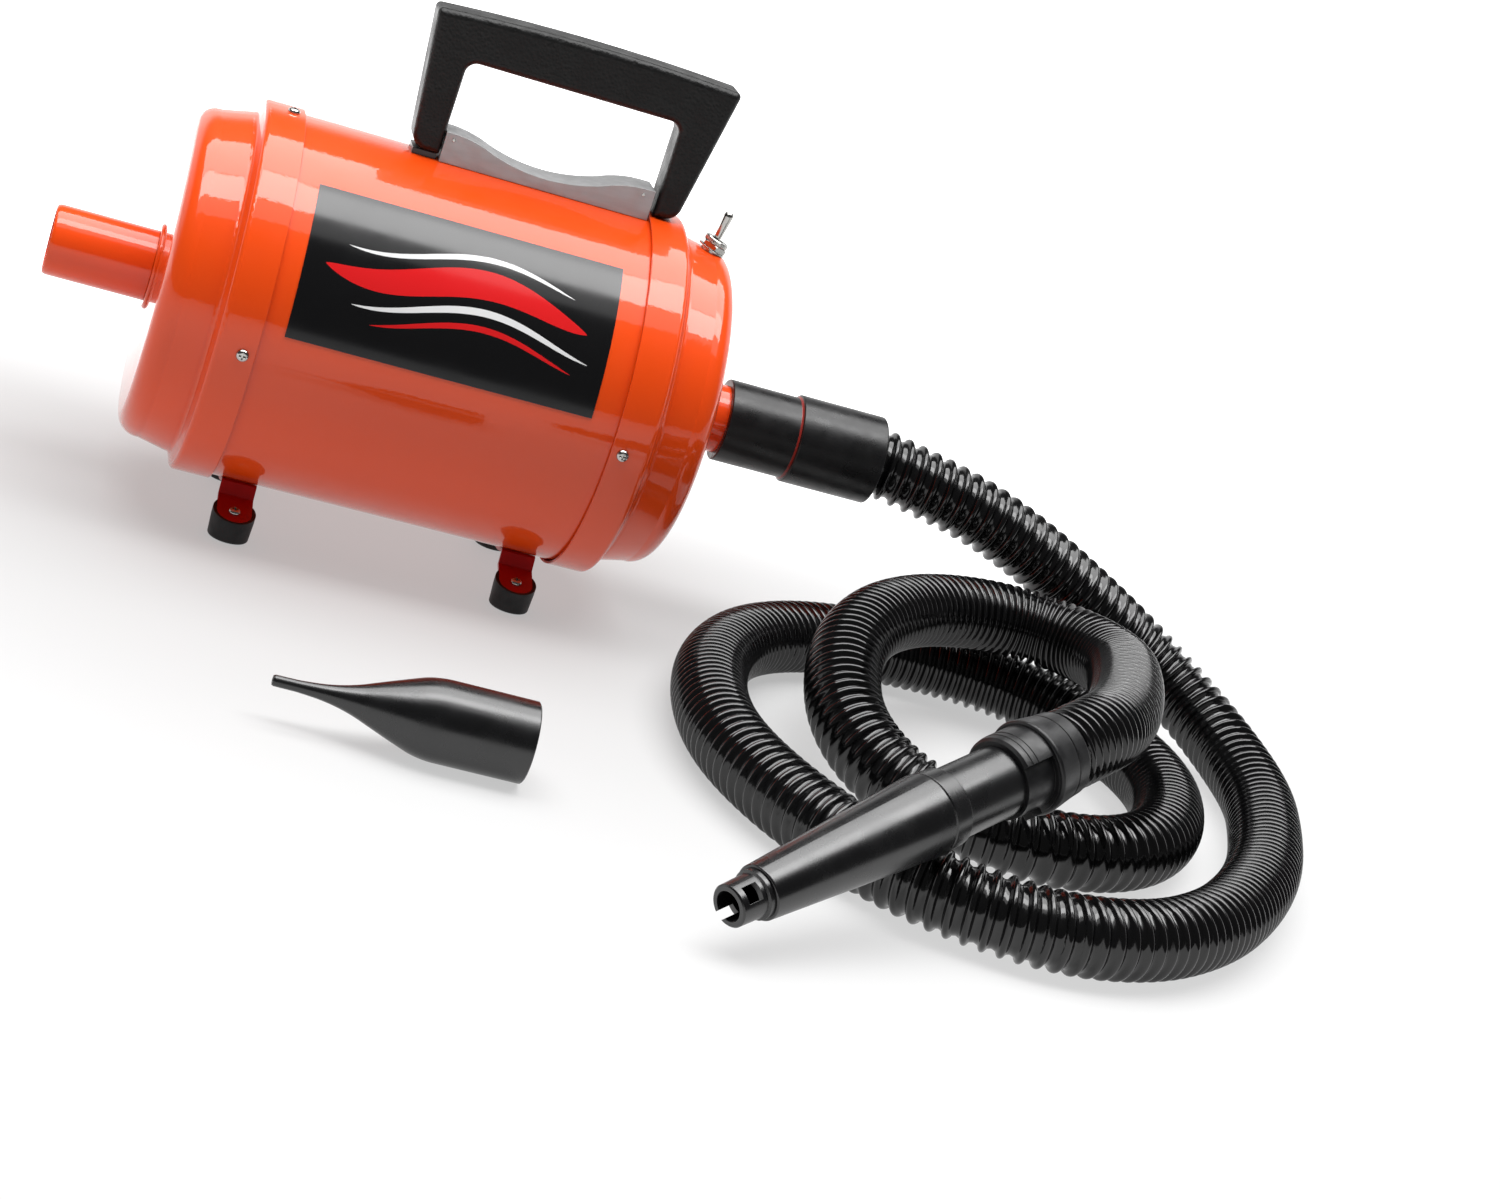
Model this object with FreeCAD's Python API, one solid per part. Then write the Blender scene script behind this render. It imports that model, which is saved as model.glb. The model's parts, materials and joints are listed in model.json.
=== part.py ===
"""Canister blower for drying pets: orange sheet-metal body, carrying handle, ribbed hose and nozzles.

Frame: millimetres, +X from the intake port towards the outlet port along the body's axis, +Y to the
back, +Z up. The origin is on the surface that the feet stand on, straight under the body's middle.
"""
import FreeCAD, Part
import os
from math import atan2, cos, degrees, pi, radians, sin, sqrt, tan
from FreeCAD import Vector

# ---------------------------------------------------------------- driving dimensions
AXIS_Z = 126.0            # height of the body's axis
TUBE_R = 104.0            # outside radius of the body tube
SHEET = 1.3               # thickness of the body's steel sheet
TUBE_HALF = 114.0         # half length of the body tube
SKIRT_R = 106.6           # outside radius of an end cap's skirt
SKIRT_EDGE = 99.5         # skirt's open edge, from the middle
SKIRT_END = 119.0         # where the skirt turns in to the shoulder
DRUM_START, DRUM_R = 126.5, 97.6
DRUM_END, DRUM_END_R = 142.5, 94.2
CAP_FACE = 155.5          # rim of the cap's end face, from the middle
CAP_DOME = 0.9            # how far the end face bulges at the port
PORT_R = 20.0             # outside radius of both port tubes
PORT_TIP = 215.0          # open end of a port tube, from the middle
PORT_WALL = 1.6
PORT_EASE, PORT_STEP = 0.3, 158.3    # the port tube is this much slimmer from its flange to the step
COLLAR_R = 24.3
SCREW_TURN = -3.5         # cap screws sit this far round from the quarter points, degrees
SCREW_X = 106.3
FOOT_X, FOOT_Y = 82.0, 52.5
FOOT_R, FOOT_H = 12.2, 15.0
TAB_SLOPE = 15.0          # how steeply the strap's end tabs slope down and out, degrees
STRAP_W, STRAP_T = 20.0, 2.0
HANDLE_MID = 37.2         # middle of the handle's finger gap along X
GRIP_T = 26.0             # handle's front to back thickness
BRACKET_W = 25.0
LABEL_X0, LABEL_X1 = -87.5, 84.1
LABEL_LOW, LABEL_HIGH = 4.7, 53.6     # label's edges, degrees above the front
SWITCH_X = 141.8
SWITCH_TILT = 17.0        # bushing leans this far towards the outlet, degrees
SWITCH_LIFT = 0.65        # clears the shoulder's curve under the washer
SWITCH_THROW = 8.0        # lever's angle to each side of the bushing, degrees
SHAFT_R = 4.0
BEARING_GAP = 0.04
FAN_R = 71.0
HOSE_R, HOSE_BORE = 21.0, 19.4
TOOL_R = 18.4             # outside radius of the adaptor tube that nozzles push onto
PUSH_FIT = 0.08           # radial clearance of the push fits

X_AXIS, Y_AXIS, Z_AXIS = Vector(1, 0, 0), Vector(0, 1, 0), Vector(0, 0, 1)
CENTRE = Vector(0, 0, AXIS_Z)


# ---------------------------------------------------------------- helpers
def face_from(steps, place):
    """Closed flat face. A step is a point, or a pair (middle, end) for an arc; place maps 2-D to 3-D."""
    edges, here = [], steps[0]
    for step in list(steps[1:]) + [steps[0]]:
        if isinstance(step[0], tuple):
            middle, end = step
            edges.append(Part.Arc(place(here), place(middle), place(end)).toShape())
        else:
            end = step
            if place(here).distanceToPoint(place(end)) > 1e-6:
                edges.append(Part.LineSegment(place(here), place(end)).toShape())
        here = end
    return Part.Face(Part.Wire(edges))


def lathe(steps, base=CENTRE, axis=X_AXIS):
    """Solid of revolution. Steps are (distance along axis, radius)."""
    side = Z_AXIS if abs(axis.z) < 0.9 else X_AXIS
    side = (side - axis * side.dot(axis)).normalize()
    flat = face_from(steps, lambda p: base + axis * p[0] + side * p[1])
    return flat.revolve(base, axis, 360)


def ring(start, end, outer, inner=0.0, base=CENTRE, axis=X_AXIS):
    """Round bar or tube between two distances along the axis."""
    body = Part.makeCylinder(outer, end - start, base + axis * start, axis)
    if inner:
        body = body.cut(Part.makeCylinder(inner, end - start + 2, base + axis * (start - 1), axis))
    return body


def block(x0, x1, y0, y1, z0, z1):
    return Part.makeBox(x1 - x0, y1 - y0, z1 - z0, Vector(x0, y0, z0))


def fused(shapes):
    body = shapes[0].multiFuse(shapes[1:]) if len(shapes) > 1 else shapes[0]
    return body.removeSplitter()


def mirrored_x(shape):
    return shape.mirror(Vector(0, 0, 0), X_AXIS)


def mirrored_y(shape):
    return shape.mirror(Vector(0, 0, 0), Y_AXIS)


def around(angle, radius, x=0.0):
    """Point on the body: angle in degrees above the front, seen from the outlet end."""
    return CENTRE + Vector(x, -radius * cos(radians(angle)), radius * sin(radians(angle)))


def outward(angle):
    return Vector(0, -cos(radians(angle)), sin(radians(angle)))


def pan_screw(seat, direction, head_r, shank_r, shank_len):
    """Cross-recessed pan-head screw: seat is the point under the head, direction points out of the head."""
    head_h = 0.68 * head_r
    dome = [(0, 0), (0, head_r), (0.3 * head_h, head_r),
            ((0.8 * head_h, 0.8 * head_r), (head_h, 0.45 * head_r)), (head_h, 0)]
    head = lathe(dome, seat, direction)
    side = Y_AXIS if abs(direction.y) < 0.7 else X_AXIS
    side = (side - direction * side.dot(direction)).normalize()
    other = direction.cross(side)
    arm, slot, depth = 0.55 * head_r, 0.13 * head_r, 0.6 * head_h
    for along, across in ((side, other), (other, side)):
        corner = [along * a * arm + across * b * slot for a, b in ((-1, -1), (1, -1), (1, 1), (-1, 1))]
        floor = [seat + direction * (head_h - depth) + c for c in corner]
        outline = Part.makePolygon(floor + floor[:1])
        head = head.cut(Part.Face(outline).extrude(direction * (depth + 1)))
    shank = Part.makeCylinder(shank_r, shank_len + 0.2, seat + direction * 0.2, direction * -1)
    return fused([head, shank])


# ---------------------------------------------------------------- body shell
def cap_outline(inset, edge):
    """Half section of the right-hand end cap, drawn in from its outside by inset."""
    skirt = SKIRT_R - inset
    return [
        (edge, 0), (edge, skirt), (SKIRT_END - inset, skirt),
        ((SKIRT_END + 1.9 - inset, skirt - 0.8), (SKIRT_END + 2.8 - inset, skirt - 2.8)),
        (DRUM_START - 3 - inset, DRUM_R + 2 - inset),
        ((DRUM_START - 2.2 - inset, DRUM_R + 0.7 - inset), (DRUM_START - inset, DRUM_R - inset)),
        (DRUM_END - inset, DRUM_END_R - inset),
        ((DRUM_END + 9.6 - inset, DRUM_END_R - 3.6 - inset), (CAP_FACE - inset, DRUM_END_R - 13 - inset)),
        (CAP_FACE + CAP_DOME - inset, PORT_R + 6),
        (CAP_FACE + CAP_DOME - inset, 0),
    ]


def cap_screw_places():
    """Where the caps are screwed on: x and angle. The handle's screw takes the outlet cap's top place."""
    places = [(x, SCREW_TURN + 90 * i) for x in (-SCREW_X, SCREW_X) for i in range(4)]
    return [(x, angle) for x, angle in places if x < 0 or abs(angle - 90) > 10]


def end_cap(outlet_side):
    """Spun steel cap, drawn at the right-hand end; the outlet cap has holes for switch, handle and cord."""
    cap = lathe(cap_outline(0, SKIRT_EDGE)).cut(lathe(cap_outline(SHEET, SKIRT_EDGE - 1)))
    cap = cap.cut(ring(CAP_FACE - 5, CAP_FACE + 5, PORT_R + 0.1))
    for x, angle in cap_screw_places():
        if (x > 0) == outlet_side:
            cap = cap.cut(Part.makeCylinder(1.8, 20, around(angle, 95, SCREW_X), outward(angle)))
    if outlet_side:
        base, axis = switch_place(-6)
        cap = cap.cut(Part.makeCylinder(6.1, 12, base, axis))
        cap = cap.cut(Part.makeCylinder(2.7, 20, Vector(HANDLE_SCREW_X[1], 0, AXIS_Z + 95), Z_AXIS))
        cap = cap.cut(Part.makeCylinder(GROMMET_R + 0.1, 12, grommet_point(-6), X_AXIS))
    return cap


def tube_shell():
    tube = ring(-TUBE_HALF, TUBE_HALF, TUBE_R, TUBE_R - SHEET)
    for x, angle in cap_screw_places():
        tube = tube.cut(Part.makeCylinder(1.8, 20, around(angle, 95, x), outward(angle)))
    for x in HANDLE_SCREW_X:
        tube = tube.cut(Part.makeCylinder(2.7, 20, Vector(x, 0, AXIS_Z + 95), Z_AXIS))
    for point, direction in strap_rivet_places():
        tube = tube.cut(Part.makeCylinder(2.1, 12, point - direction * 8, direction))
    return tube


def port_tube():
    """Right-hand port: a tube with an inside flange that holds it in the cap, its tip eased."""
    start = CAP_FACE + CAP_DOME - SHEET - 2.05
    outer = [(start, 0), (start, COLLAR_R), (start + 2, COLLAR_R), (start + 2, PORT_R - PORT_EASE),
             (PORT_STEP, PORT_R - PORT_EASE), (PORT_STEP, PORT_R), (PORT_TIP - 3, PORT_R),
             ((PORT_TIP - 1.5, PORT_R - 0.22), (PORT_TIP, PORT_R - 0.9)), (PORT_TIP, 0)]
    return lathe(outer).cut(ring(start - 1, PORT_TIP + 1, PORT_R - PORT_WALL))


def port_collar():
    """Bead ring that closes the joint between the cap's face and the port tube."""
    x = CAP_FACE + CAP_DOME
    rim = [(x, PORT_R + 0.05), (x, COLLAR_R), ((x + 1.3, COLLAR_R - 0.5), (x + 1.8, COLLAR_R - 1.8)),
           (x + 1.8, PORT_R + 0.05)]
    return lathe(rim)


def cap_screws():
    return [pan_screw(around(a, SKIRT_R, x), outward(a), 3.5, 1.7, 8.0) for x, a in cap_screw_places()]


def label_plate():
    sweep = LABEL_HIGH - LABEL_LOW
    start = CENTRE + Vector(LABEL_X0, 0, 0)
    shell = Part.makeCylinder(TUBE_R + 0.45, LABEL_X1 - LABEL_X0, start, X_AXIS, sweep)
    core = Part.makeCylinder(TUBE_R + 0.05, LABEL_X1 - LABEL_X0 + 2, start - X_AXIS, X_AXIS)
    label = shell.cut(core)
    centre_dir = label.Solids[0].CenterOfMass - CENTRE
    now = degrees(atan2(centre_dir.z, -centre_dir.y))
    label.rotate(CENTRE, X_AXIS, now - (LABEL_LOW + LABEL_HIGH) / 2)
    return label


# ---------------------------------------------------------------- handle
HANDLE_SCREW_X = (-32.0, 107.3)
LEG_BOTTOM = 232.8
GAP_TOP = 287.0
GAP_LEFT, GAP_RIGHT = -24.2, 101.0
BRACKET_T = 1.6
BRACKET_LEFT, BRACKET_RIGHT = -23.5, 98.4
BRACKET_BASE = AXIS_Z + sqrt(TUBE_R ** 2 - (BRACKET_W / 2 - BRACKET_T) ** 2) + 0.1
BRACKET_TOP, BRACKET_DIP = 246.6, 236.4
BRACKET_RIVET_X = (-18.7, 92.1)


def handle_grip():
    """Trapezoid grip of moulded plastic: arched top, legs narrowing to rounded ends."""
    def place(p):
        return Vector(p[0], -GRIP_T / 2, p[1])
    corners = {
        (-47.0, 311.4): 3.0, (129.3, 312.8): 3.0, (114.8, LEG_BOTTOM): 9.0, (GAP_RIGHT, LEG_BOTTOM): 1.0,
        (GAP_RIGHT, GAP_TOP): 6.5, (GAP_LEFT + 1.2, GAP_TOP): 6.5, (GAP_LEFT, LEG_BOTTOM): 1.0,
        (-40.4, LEG_BOTTOM): 9.0,
    }
    points = list(corners)
    steps = [points[0], ((HANDLE_MID + 4, 315.2), points[1])] + points[2:]
    grip = face_from(steps, place).extrude(Vector(0, GRIP_T, 0))
    for (x, z), radius in corners.items():
        grip = grip.makeFillet(radius, edges_near(grip, x, z))
    rim = [e for e in grip.Edges if e.BoundBox.YLength < 0.01 and e.BoundBox.ZMax > LEG_BOTTOM + 2]
    grip = grip.makeFillet(4.0, rim)
    for x in HANDLE_SCREW_X:
        grip = grip.cut(Part.makeCylinder(2.6, 24, Vector(x, 0, LEG_BOTTOM - 1), Z_AXIS))
    return grip


def edges_near(shape, x, z):
    """Edges that run front to back through the point (x, z)."""
    return [e for e in shape.Edges if e.BoundBox.YLength > 5
            and abs(e.BoundBox.Center.x - x) < 0.1 and abs(e.BoundBox.Center.z - z) < 0.1]


def bracket_face(drop, margin):
    """Side view of the bracket: level ends and a long dip; drop lowers the top for the inside."""
    x0, x1 = BRACKET_LEFT + margin, BRACKET_RIGHT - margin
    top, dip = BRACKET_TOP - drop, BRACKET_DIP - drop
    half = (top + dip) / 2
    def place(p):
        return Vector(p[0], 0, p[1])
    return face_from([
        (x0, BRACKET_BASE - 5 * margin), (x0, top), (x0 + 6, top),
        ((x0 + 17, top - 1.6), (x0 + 28, half)),
        ((HANDLE_MID + 4, dip), (x1 - 30, half)),
        ((x1 - 18, top - 1.3), (x1 - 6, top)), (x1, top), (x1, BRACKET_BASE - 5 * margin),
    ], place)


def handle_bracket():
    """Inverted channel between the handle's legs, pressed from one sheet."""
    outer = bracket_face(0, 0).extrude(Vector(0, BRACKET_W, 0))
    outer.translate(Vector(0, -BRACKET_W / 2, 0))
    width = BRACKET_W - 2 * BRACKET_T
    inner = bracket_face(BRACKET_T, BRACKET_T).extrude(Vector(0, width, 0))
    inner.translate(Vector(0, -width / 2, 0))
    bracket = outer.cut(inner).cut(ring(BRACKET_LEFT - 1, BRACKET_RIGHT + 1, TUBE_R + 0.1))
    for x in BRACKET_RIVET_X:
        bracket = bracket.cut(Part.makeCylinder(0.9, 60, Vector(x, -30, BRACKET_TOP - 3.4), Y_AXIS))
    return bracket


def bracket_pins():
    """Cross pins that tie the bracket's walls to lugs on the handle's legs."""
    length = BRACKET_W + 0.6
    return [Part.makeCylinder(0.85, length, Vector(x, -length / 2, BRACKET_TOP - 3.4), Y_AXIS)
            for x in BRACKET_RIVET_X]


def handle_screws():
    """Screws up from inside the body into the legs: head under the sheet."""
    screws = []
    for x in HANDLE_SCREW_X:
        seat = Vector(x, 0, AXIS_Z + TUBE_R - SHEET - 0.3)
        head = Part.makeCylinder(4.5, 3, seat, Z_AXIS * -1)
        screws.append(fused([head, Part.makeCylinder(2.4, 24, seat - Z_AXIS * 0.5, Z_AXIS)]))
    return screws


def handle_spacer():
    """Pad under the intake-side leg: the other leg stands on the thicker skirt."""
    pad = block(-39, GAP_LEFT - 1.5, -10, 10, AXIS_Z + TUBE_R - 1, LEG_BOTTOM - 0.05)
    pad = pad.cut(ring(-60, 0, TUBE_R + 0.05))
    return pad.cut(Part.makeCylinder(2.6, 12, Vector(HANDLE_SCREW_X[0], 0, AXIS_Z + TUBE_R - 4), Z_AXIS))


# ---------------------------------------------------------------- toggle switch
DRUM_SLOPE = (DRUM_R - DRUM_END_R) / (DRUM_END - DRUM_START)
LEVER_PIVOT = 2.0         # pivot's height above the cap, along the bushing


def switch_place(height):
    """Point on the bushing's axis at a height above the cap, and the axis itself."""
    radius = DRUM_R - (SWITCH_X - DRUM_START) * DRUM_SLOPE + SWITCH_LIFT
    axis = Vector(sin(radians(SWITCH_TILT)), 0, cos(radians(SWITCH_TILT)))
    return Vector(SWITCH_X, 0, AXIS_Z + radius) + axis * height, axis


def switch_ring(low, high, outer, inner):
    base, axis = switch_place(0)
    return ring(low, high, outer, inner, base, axis)


def switch_bushing():
    base, axis = switch_place(0)
    outline = [(-4, 0), (-4, 7.0), (-2.9, 7.0), (-2.9, 5.9), (6.6, 5.9), (7.1, 5.4), (7.1, 0)]
    return lathe(outline, base, axis).cut(ring(-5, 8, 3.8, 0, base, axis))


def switch_hex_nut():
    base, axis = switch_place(1.3)
    across = 7.0 / cos(pi / 6)
    side = Y_AXIS
    other = axis.cross(side)
    corners = [base + side * across * cos(i * pi / 3) + other * across * sin(i * pi / 3) for i in range(6)]
    nut = Part.Face(Part.makePolygon(corners + corners[:1])).extrude(axis * 2.9)
    rim = [(0, 0), (0, 7.3), (0.7, across + 0.1), (2.2, across + 0.1), (2.9, 7.3), (2.9, 0)]
    chamfer = lathe(rim, base, axis)
    return nut.common(chamfer).cut(ring(-1, 5, 5.95, 0, base, axis))


def switch_dress_nut():
    """Knurled round nut with two key slots across its top."""
    base, axis = switch_place(4.3)
    rim = [(0, 0), (0, 6.8), (0.5, 7.4), (2.4, 7.4), (2.9, 6.9), (2.9, 0)]
    nut = lathe(rim, base, axis).cut(ring(-1, 4, 5.95, 0, base, axis))
    other = axis.cross(Y_AXIS)
    for i in range(36):
        angle = i * pi / 18
        at = base + Y_AXIS * 7.5 * cos(angle) + other * 7.5 * sin(angle)
        nut = nut.cut(Part.makeCylinder(0.3, 5, at - axis, axis))
    return nut


def switch_lever():
    """Bat lever: ball and cross pin on the pivot, thin neck, club with a rounded end."""
    base, _ = switch_place(LEVER_PIVOT)
    lean = radians(SWITCH_TILT - SWITCH_THROW)
    axis = Vector(sin(lean), 0, cos(lean))
    profile = [(-2.9, 0), (-2.9, 0.8), ((-2.1, 2.1), (0, 3.0)), (1.2, 2.6), (3.0, 2.0), (19.6, 3.0),
               ((21.7, 2.1), (22.5, 0.7)), (22.5, 0)]
    pin = Part.makeCylinder(1.2, 6.8, base - Y_AXIS * 3.4, Y_AXIS)
    return fused([lathe(profile, base, axis), pin])


def switch_body():
    base, axis = switch_place(-4.05)
    body = Part.makeBox(20, 13, 13, Vector(-10, -6.5, -13))
    body.Placement = FreeCAD.Placement(base, FreeCAD.Rotation(Z_AXIS, axis)).multiply(body.Placement)
    return body


def switch_terminals():
    base, axis = switch_place(-17.1)
    along = Vector(axis.z, 0, -axis.x)
    blades = []
    for offset in (-6.5, 0.0, 6.5):
        corner = base + along * (offset - 0.4) - Y_AXIS * 2.4
        outline = [corner, corner + along * 0.8, corner + along * 0.8 + Y_AXIS * 4.8, corner + Y_AXIS * 4.8]
        blades.append(Part.Face(Part.makePolygon(outline + outline[:1])).extrude(axis * -7))
    return blades


# ---------------------------------------------------------------- cord inlet
GROMMET_R = 6.5


def grommet_point(offset):
    return Vector(CAP_FACE - SHEET / 2 + offset, 52, AXIS_Z - 38)


def cord_grommet():
    """Grommet for the mains lead, at the back of the outlet cap's face: two flanges and a waist."""
    base = grommet_point(0)
    outline = [(-3, 3.6), (-3, 9), (-1.2, 9), (-1.2, GROMMET_R), (1.6, GROMMET_R), (1.6, 9),
               ((3.0, 8.4), (3.6, 7)), (3.6, 3.6)]
    return lathe(outline, base, X_AXIS)


# ---------------------------------------------------------------- feet
LEG_Y = 34.4
TAB_START = (36.2, 18.2)  # underside corner where the leg bends into the tab: y, z


def tab_point(along, up):
    """Point on the front tab's centre plane: distance along the tab and up from its underside."""
    a = radians(TAB_SLOPE)
    out, height = TAB_START
    return Vector(0, -(out + along * cos(a) + up * sin(a)), height - along * sin(a) + up * cos(a))


def tab_normal():
    return Vector(0, -sin(radians(TAB_SLOPE)), cos(radians(TAB_SLOPE)))


TAB_SCREW = (FOOT_Y - TAB_START[0]) / cos(radians(TAB_SLOPE)) + 0.4
TAB_LENGTH = TAB_SCREW + STRAP_W / 2


def tab_plate(width, low, high):
    """Front tab with its round end, at x = 0."""
    start, normal = tab_point(0, low), tab_normal()
    half, end = X_AXIS * (width / 2), tab_point(TAB_SCREW, low)
    corners = [start - half, start + half, end + half, end - half]
    plate = Part.Face(Part.makePolygon(corners + corners[:1])).extrude(normal * (high - low))
    round_end = Part.makeCylinder(width / 2, high - low, tab_point(TAB_SCREW, low), normal)
    return fused([plate, round_end])


def foot_strap(x):
    """Steel strap: saddle under the tube, a leg each side and a sloping tab at each end."""
    saddle_r = TUBE_R + 0.15
    reach = degrees(atan2(LEG_Y, sqrt(saddle_r ** 2 - LEG_Y ** 2)))
    edge_z = AXIS_Z - sqrt(saddle_r ** 2 - LEG_Y ** 2)
    inner = [(-LEG_Y, edge_z), (LEG_Y, edge_z)]
    outer_r = saddle_r + STRAP_T
    outer_y = outer_r * sin(radians(reach))
    outer_z = AXIS_Z - outer_r * cos(radians(reach))
    saddle = face_from([inner[0], ((0, AXIS_Z - saddle_r), inner[1]), (outer_y, outer_z),
                        ((0, AXIS_Z - outer_r), (-outer_y, outer_z))], lambda p: Vector(0, p[0], p[1]))
    saddle = saddle.extrude(X_AXIS * STRAP_W)
    saddle.translate(X_AXIS * -STRAP_W / 2)
    pieces = [saddle]
    for side in (1, -1):
        low = tab_point(0, 0)
        top = inner[0][1]
        foot_y = tab_point(0, STRAP_T).y - STRAP_T
        outline = [(-LEG_Y, top), (low.y + 0.02, low.z), (foot_y, low.z + 0.9), (-LEG_Y - STRAP_T, top - 0.75)]
        leg = face_from(outline, lambda p: Vector(0, p[0] * side, p[1]))
        leg = leg.extrude(X_AXIS * STRAP_W)
        leg.translate(X_AXIS * -STRAP_W / 2)
        tab = tab_plate(STRAP_W, 0, STRAP_T)
        tab = tab if side == 1 else mirrored_y(tab)
        pieces += [leg, tab]
    strap = fused(pieces)
    for side in (1, -1):
        hole = Part.makeCylinder(1.8, 12, tab_point(TAB_SCREW, -5), tab_normal())
        strap = strap.cut(hole if side == 1 else mirrored_y(hole))
    strap.translate(X_AXIS * x)
    for point, direction in strap_rivet_places():
        strap = strap.cut(Part.makeCylinder(2.1, 12, point - direction * 6, direction))
    return strap


def strap_rivet_places():
    radius = TUBE_R + STRAP_T + 0.15
    return [(around(a, radius, x), outward(a)) for x in (-FOOT_X, FOOT_X) for a in (-101, -79)]


def strap_rivets():
    rivets = []
    for point, direction in strap_rivet_places():
        head = lathe([(0, 0), (0, 3.4), ((1.2, 2.5), (1.7, 0.8)), (1.7, 0)], point, direction)
        shank = Part.makeCylinder(2.0, 4.6, point + direction * 0.5, direction * -1)
        rivets.append(fused([head, shank]))
    return rivets


def rubber_foot(x, side):
    """Round rubber foot: level under, its top cut to the tab's slope with a pocket that holds the tab."""
    base = Vector(0, -FOOT_Y, 0)
    outline = [(0, 0), (0, FOOT_R - 2.2), ((0.47, FOOT_R - 1.07), (1.6, FOOT_R - 0.6)),
               (FOOT_H - 3, FOOT_R), (FOOT_H + 8, FOOT_R), (FOOT_H + 8, 0)]
    foot = lathe(outline, base, Z_AXIS)
    top = tab_point(TAB_SCREW, STRAP_T + 0.2)
    above = Part.makeBox(60, 60, 30, Vector(-30, -30, 0))
    slope = FreeCAD.Placement(top, FreeCAD.Rotation(Z_AXIS, tab_normal()))
    above.Placement = slope.multiply(above.Placement)
    foot = foot.cut(above).cut(tab_plate(STRAP_W + 0.1, -0.05, STRAP_T + 3))
    foot = foot.cut(Part.makeCylinder(1.8, 14, tab_point(TAB_SCREW, -8.5), tab_normal()))
    foot = foot if side < 0 else mirrored_y(foot)
    foot.translate(X_AXIS * x)
    return foot


def foot_screws():
    screws = []
    for x in (-FOOT_X, FOOT_X):
        front = pan_screw(tab_point(TAB_SCREW, STRAP_T), tab_normal(), 3.3, 1.7, 9.0)
        for screw in (front, mirrored_y(front)):
            screw.translate(X_AXIS * x)
            screws.append(screw)
    return screws


# ---------------------------------------------------------------- motor and fan, inside the tube
FAN_X0, FAN_X1 = -104.0, -56.0
SHAFT_X0, SHAFT_X1 = -105.5, 77.0
FIELD_R, BORE_R = 43.0, 26.0


def fan_housing():
    shell = lathe([(FAN_X0, 0), (FAN_X0, FAN_R - 2), ((FAN_X0 + 0.6, FAN_R - 0.6), (FAN_X0 + 2, FAN_R)),
                   (FAN_X1, FAN_R), (FAN_X1, 0)])
    hollow = ring(FAN_X0 + 1.2, FAN_X1 + 1, FAN_R - 1.2)
    return shell.cut(hollow).cut(ring(FAN_X0 - 1, FAN_X0 + 2, 23))


def impeller(x0):
    """Fan stage: hub, back plate, curved blades and a front plate with an eye."""
    radius, depth = 64.0, 11.0
    parts = [ring(x0, x0 + depth, 8.0), ring(x0 + depth - 1.2, x0 + depth, radius),
             ring(x0, x0 + 1.2, radius, 21.0)]
    blade = ring(x0 + 1.1, x0 + depth - 1.1, 40, 38.8, CENTRE + Vector(0, 38, -18))
    blade = blade.common(ring(x0, x0 + depth, radius - 1, 19))
    blade = blade.common(block(x0, x0 + depth, -40, 80, AXIS_Z + 2, AXIS_Z + 80))
    for i in range(7):
        turned = blade.copy()
        turned.rotate(CENTRE, X_AXIS, i * 360 / 7)
        parts.append(turned)
    return fused(parts).cut(ring(x0 - 1, x0 + depth + 1, SHAFT_R))


def diffuser():
    """Fixed return plate between the two fan stages."""
    parts = [ring(-88.5, -87.3, FAN_R - 1.25, 12)]
    for i in range(8):
        vane = block(-87.4, -83.8, 24, 60, AXIS_Z - 0.6, AXIS_Z + 0.6)
        vane.rotate(CENTRE + Vector(0, 24, 0), X_AXIS, 35)
        vane.rotate(CENTRE, X_AXIS, i * 45)
        parts.append(vane)
    return fused(parts)


def motor_shaft():
    return ring(SHAFT_X0, SHAFT_X1, SHAFT_R - BEARING_GAP)


def shaft_nut():
    corners = [CENTRE + Vector(-104.1, 7.5 * cos(i * pi / 3), 7.5 * sin(i * pi / 3)) for i in range(6)]
    nut = Part.Face(Part.makePolygon(corners + corners[:1])).extrude(Vector(3.5, 0, 0))
    return nut.cut(ring(-105, -100, SHAFT_R))


def drive_end_plate():
    """Plate that closes the fan housing and carries the drive-end bearing in a boss."""
    plate = fused([ring(-56, -54, FAN_R), ring(-56, -44, 16)])
    plate = plate.cut(ring(-57, -43, 11.05))
    for i in range(6):
        window = ring(-57, -53, 11, 0, CENTRE + Vector(0, 46 * cos(i * pi / 3), 46 * sin(i * pi / 3)))
        plate = plate.cut(window)
    for point in motor_bolt_points():
        plate = plate.cut(ring(-57, -53, 2.1, 0, point))
    return plate


def bearing(x0):
    return ring(x0, x0 + 7, 11.0, SHAFT_R)


def field_stack():
    """Stator laminations: round stack with the armature bore and two coil windows."""
    stack = ring(-25, 25, FIELD_R, BORE_R)
    for coil in coil_sectors(-26, 26, BORE_R - 1, 35.0, 38):
        stack = stack.cut(coil)
    return stack


def coil_sectors(x0, x1, inner, outer, half_angle):
    sectors = []
    for turn in (0, 180):
        bar = Part.makeCylinder(outer, x1 - x0, CENTRE + Vector(x0, 0, 0), X_AXIS, 2 * half_angle)
        bar = bar.cut(ring(x0 - 1, x1 + 1, inner))
        middle = bar.Solids[0].CenterOfMass - CENTRE
        bar.rotate(CENTRE, X_AXIS, turn - degrees(atan2(middle.z, middle.y)))
        sectors.append(bar)
    return sectors


def armature_core():
    core = ring(-25, 25, BORE_R - 0.6)
    for i in range(12):
        slot = block(-26, 26, 16, 27, AXIS_Z - 1.1, AXIS_Z + 1.1)
        slot.rotate(CENTRE, X_AXIS, i * 30)
        core = core.cut(slot)
    return core.cut(ring(-26, 26, SHAFT_R))


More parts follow.
